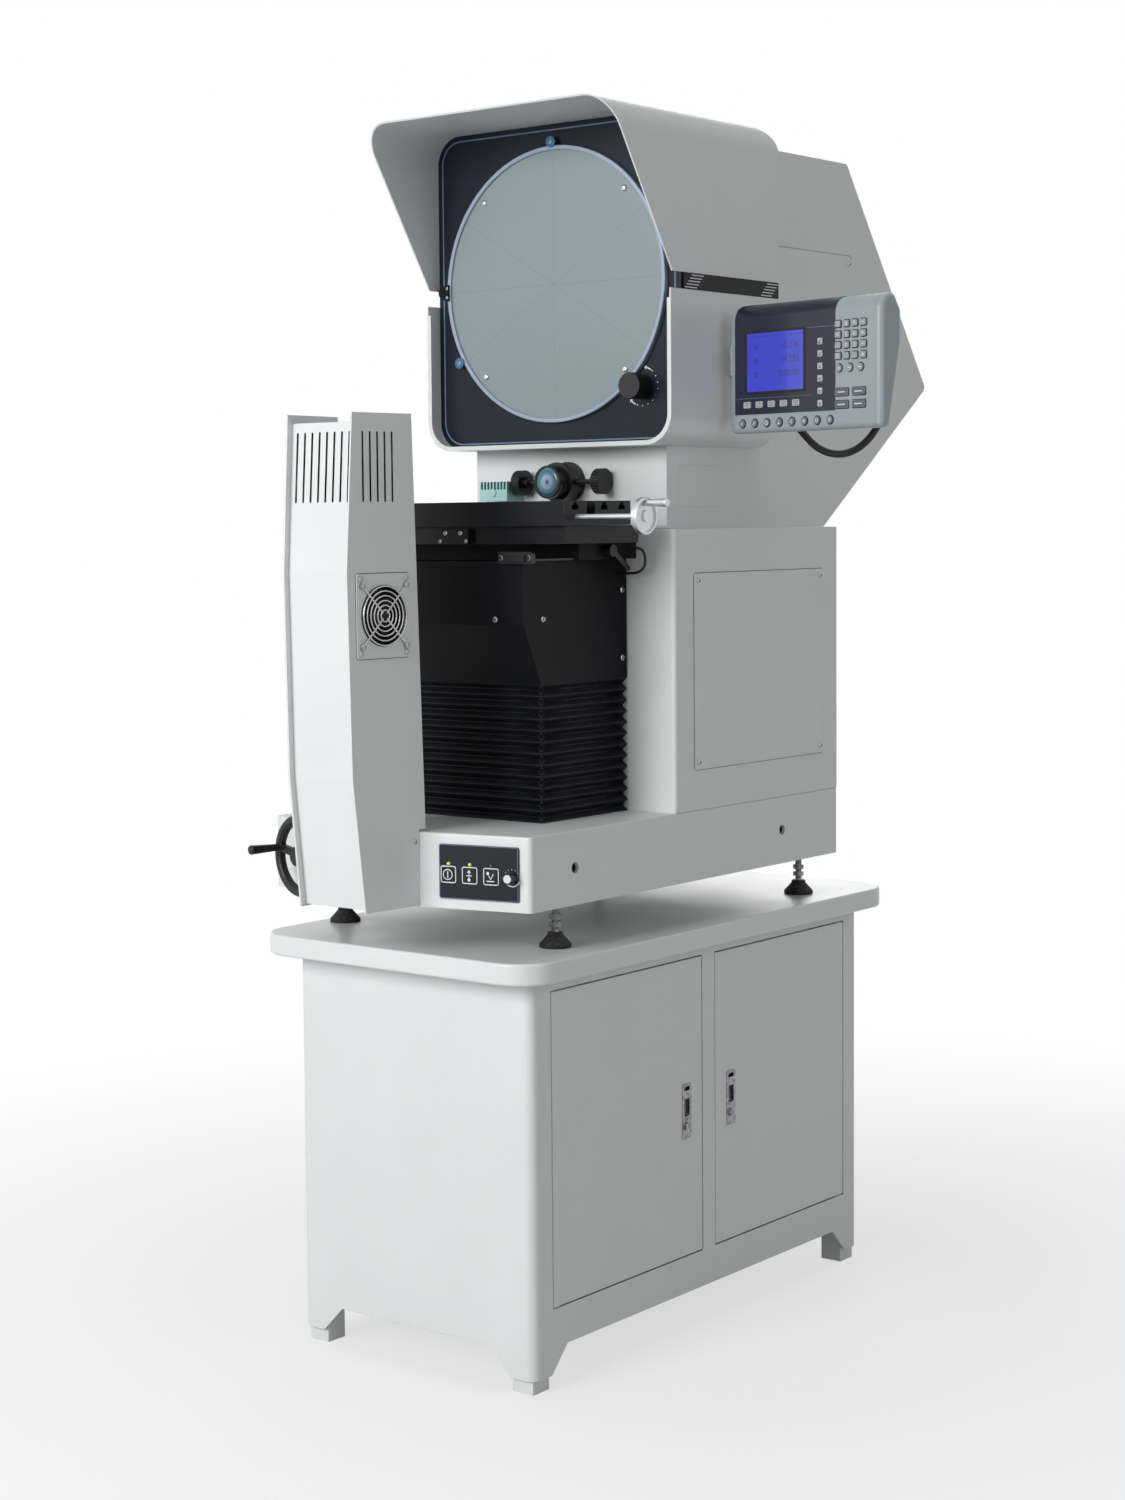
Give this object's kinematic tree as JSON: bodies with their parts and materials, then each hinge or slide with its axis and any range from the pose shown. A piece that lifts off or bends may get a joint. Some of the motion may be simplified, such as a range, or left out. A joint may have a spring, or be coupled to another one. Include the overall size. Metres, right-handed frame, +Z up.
{
  "type": "profile projector",
  "caption": "Floor-standing profile projector with round ground-glass screen, lamp tower, bellows stage and digital readout on a two-door cabinet.",
  "frame": {"origin": "floor level under the middle of the whole object", "axes": "+Z up, -Y toward the operator, +X toward the side with the doors"},
  "size_m": [0.7959, 1.3388, 1.814],
  "materials": {
    "body_paint": "fine-textured warm light grey enamel",
    "board_paint": "smooth light grey enamel",
    "black_paint": "satin black",
    "bezel_paint": "satin dark navy",
    "black_anodised": "satin black anodised",
    "stage_black": "machined and blackened",
    "bare_steel": "turned",
    "chrome_plate": "polished",
    "screw_steel": "zinc plated",
    "rubber": "matte",
    "bellows_cloth": "satin coated cloth",
    "black_plastic": "matte",
    "blue_plastic": "satin",
    "gloss_black": "gloss",
    "ground_glass": "finely ground",
    "lens_coating": "polished, blue coated",
    "mirror_glass": "front silvered",
    "case_plastic": "satin light blue-grey",
    "window_plastic": "gloss navy with a blue window",
    "key_plastic": "satin",
    "conduit_plastic": "matte corrugated",
    "cable_rubber": "matte"
  },
  "bodies": {
    "instrument": {"cabinet_body": "body_paint", "work_board": "board_paint", "foot_pads": "rubber", "foot_studs": "bare_steel", "base_housing": "body_paint", "control_panel": "body_paint", "lower_column": "body_paint", "side_covers": "body_paint", "upper_housing": "body_paint", "cover_screws": "screw_steel", "hood": "body_paint", "head_shroud": "body_paint", "trim_strips": "gloss_black", "bezel_panel": "bezel_paint", "index_plate": "bare_steel", "folding_mirrors": "mirror_glass", "lens_mount": "black_anodised", "lens_barrel": "black_anodised", "lens_glass": "lens_coating", "surface_light": "bare_steel", "bellows": "bellows_cloth", "tower_side_plates": "body_paint", "tower_covers": "body_paint", "fan_mount": "black_plastic", "fan_guard": "chrome_plate", "contour_light": "black_anodised", "display_bracket": "bare_steel", "display_conduit": "conduit_plastic"},
    "front_door": {"door_front": "body_paint", "door_pull_front": "chrome_plate"},
    "rear_door": {"door_rear": "body_paint", "door_pull_rear": "chrome_plate"},
    "power_button": {"power_button": "key_plastic"},
    "contour_button": {"contour_button": "key_plastic"},
    "surface_button": {"surface_button": "key_plastic"},
    "brightness_knob": {"brightness_knob": "black_plastic"},
    "lift_wheel": {"lift_handwheel": "black_anodised"},
    "lift_grip": {"lift_grip": "black_plastic"},
    "lift_screw": {"lift_screw": "bare_steel"},
    "lift": {"lift_box": "stage_black", "stage_fittings": "black_paint", "stage_cable": "cable_rubber"},
    "saddle": {"stage_saddle": "stage_black"},
    "focus_knob": {"focus_knob": "black_anodised"},
    "table": {"stage_table": "stage_black"},
    "cross_wheel": {"x_handwheel": "bare_steel"},
    "cross_grip": {"x_grip": "chrome_plate"},
    "screen": {"screen_ring": "black_anodised", "screen_glass": "ground_glass", "chart_clips": "chrome_plate"},
    "roller_top": {"roller_top": "blue_plastic"},
    "roller_left": {"roller_left": "blue_plastic"},
    "rotation_knob": {"rotation_knob": "black_anodised"},
    "reflector": {"reflector_knobs": "black_anodised"},
    "fan_rotor": {"fan_rotor": "black_plastic"},
    "readout": {"display_case": "case_plastic", "display_window": "window_plastic"},
    "number_keys": {"number_keys": "key_plastic"},
    "menu_keys": {"menu_keys": "key_plastic"},
    "shape_keys": {"shape_keys": "key_plastic"}
  },
  "joints": [
    {"name": "front_door_swing", "type": "hinge", "parent": "instrument", "child": "front_door", "pos_m": [0.07379, -0.44675, 0.3395], "axis": [0, 0, -1], "range_deg": [0, 110]},
    {"name": "rear_door_swing", "type": "hinge", "parent": "instrument", "child": "rear_door", "pos_m": [0.07379, 0.30525, 0.3395], "axis": [0, 0, 1], "range_deg": [0, 110]},
    {"name": "power_press", "type": "slide", "parent": "instrument", "child": "power_button", "axis": [-0.2079, 0.9781, 0], "range_m": [0, 0.002], "stiffness_N_per_m": 400, "springref_m": -0.001},
    {"name": "contour_press", "type": "slide", "parent": "instrument", "child": "contour_button", "axis": [-0.2079, 0.9781, 0], "range_m": [0, 0.002], "stiffness_N_per_m": 400, "springref_m": -0.001},
    {"name": "surface_press", "type": "slide", "parent": "instrument", "child": "surface_button", "axis": [-0.2079, 0.9781, 0], "range_m": [0, 0.002], "stiffness_N_per_m": 400, "springref_m": -0.001},
    {"name": "brightness_turn", "type": "hinge", "parent": "instrument", "child": "brightness_knob", "pos_m": [0.05792, -0.51442, 0.728], "axis": [0.2079, -0.9781, 0], "range_deg": [-140, 140]},
    {"name": "lift_wheel_turn", "type": "hinge", "parent": "instrument", "child": "lift_wheel", "pos_m": [-0.29476, -0.55992, 0.737], "axis": [-0.2079, -0.9781, 0], "range_deg": [-1802, 1802]},
    {"name": "lift_grip_spin", "type": "hinge", "parent": "lift_wheel", "child": "lift_grip", "pos_m": [-0.34875, -0.57707, 0.74568], "axis": [-0.2079, -0.9781, 0], "continuous": true},
    {"name": "lift_screw_turn", "type": "hinge", "parent": "instrument", "child": "lift_screw", "pos_m": [-0.22823, -0.24691, 0.9], "axis": [0, 0, 1], "range_deg": [-1802, 1802]},
    {"name": "lift_travel", "type": "slide", "parent": "instrument", "child": "lift", "axis": [0, 0, 1], "range_m": [-0.05, 0.05], "deforming": ["bellows"]},
    {"name": "focus_travel", "type": "slide", "parent": "lift", "child": "saddle", "axis": [0, 1, 0], "range_m": [-0.038, 0.038]},
    {"name": "focus_turn", "type": "hinge", "parent": "saddle", "child": "focus_knob", "pos_m": [-0.37971, -0.30275, 1.19], "axis": [1, 0, 0], "range_deg": [-275, 275]},
    {"name": "cross_travel", "type": "slide", "parent": "saddle", "child": "table", "axis": [1, 0, 0], "range_m": [-0.1, 0.1]},
    {"name": "cross_wheel_turn", "type": "hinge", "parent": "table", "child": "cross_wheel", "pos_m": [0.18729, -0.37875, 1.22], "axis": [1, 0, 0], "range_deg": [-1810, 1810]},
    {"name": "cross_grip_spin", "type": "hinge", "parent": "cross_wheel", "child": "cross_grip", "pos_m": [0.20729, -0.37875, 1.238], "axis": [1, 0, 0], "continuous": true},
    {"name": "screen_turn", "type": "hinge", "parent": "instrument", "child": "screen", "pos_m": [-0.15571, -0.13575, 1.571], "axis": [0, -1, 0], "continuous": true},
    {"name": "roller_top_spin", "type": "hinge", "parent": "instrument", "child": "roller_top", "pos_m": [-0.15571, -0.13575, 1.784], "axis": [0, -1, 0], "continuous": true},
    {"name": "roller_left_spin", "type": "hinge", "parent": "instrument", "child": "roller_left", "pos_m": [-0.33828, -0.13575, 1.4613], "axis": [0, -1, 0], "continuous": true},
    {"name": "rotation_knob_turn", "type": "hinge", "parent": "instrument", "child": "rotation_knob", "pos_m": [0.00429, -0.16175, 1.412], "axis": [0, -1, 0], "continuous": true},
    {"name": "reflector_tilt", "type": "hinge", "parent": "instrument", "child": "reflector", "pos_m": [-0.15571, -0.11775, 1.2735], "axis": [1, 0, 0], "range_deg": [-30, 30]},
    {"name": "fan_spin", "type": "hinge", "parent": "instrument", "child": "fan_rotor", "pos_m": [-0.10246, -0.60477, 1.088], "axis": [0.9966, -0.0819, 0], "continuous": true},
    {"name": "readout_tilt", "type": "hinge", "parent": "instrument", "child": "readout", "pos_m": [0.19739, 0.00088, 1.4505], "axis": [0.9813, -0.1925, 0], "range_deg": [-12, 10]},
    {"name": "number_keys_press", "type": "slide", "parent": "readout", "child": "number_keys", "axis": [0.1925, 0.9813, 0], "range_m": [0, 0.001], "stiffness_N_per_m": 400, "springref_m": -0.001},
    {"name": "menu_keys_press", "type": "slide", "parent": "readout", "child": "menu_keys", "axis": [0.1925, 0.9813, 0], "range_m": [0, 0.001], "stiffness_N_per_m": 400, "springref_m": -0.001},
    {"name": "shape_keys_press", "type": "slide", "parent": "readout", "child": "shape_keys", "axis": [0.1925, 0.9813, 0], "range_m": [0, 0.001], "stiffness_N_per_m": 400, "springref_m": -0.001}
  ],
  "couplings": [
    {"joint": "lift_wheel_turn", "follows": "lift_travel", "rad_per_m": 628.32},
    {"joint": "lift_screw_turn", "follows": "lift_travel", "rad_per_m": -628.32},
    {"joint": "focus_turn", "follows": "focus_travel", "rad_per_m": -125},
    {"joint": "cross_wheel_turn", "follows": "cross_travel", "rad_per_m": 314.16},
    {"joint": "rotation_knob_turn", "follows": "screen_turn", "ratio": -11.58},
    {"joint": "roller_top_spin", "follows": "screen_turn", "ratio": -38.785},
    {"joint": "roller_left_spin", "follows": "screen_turn", "ratio": -38.785}
  ]
}
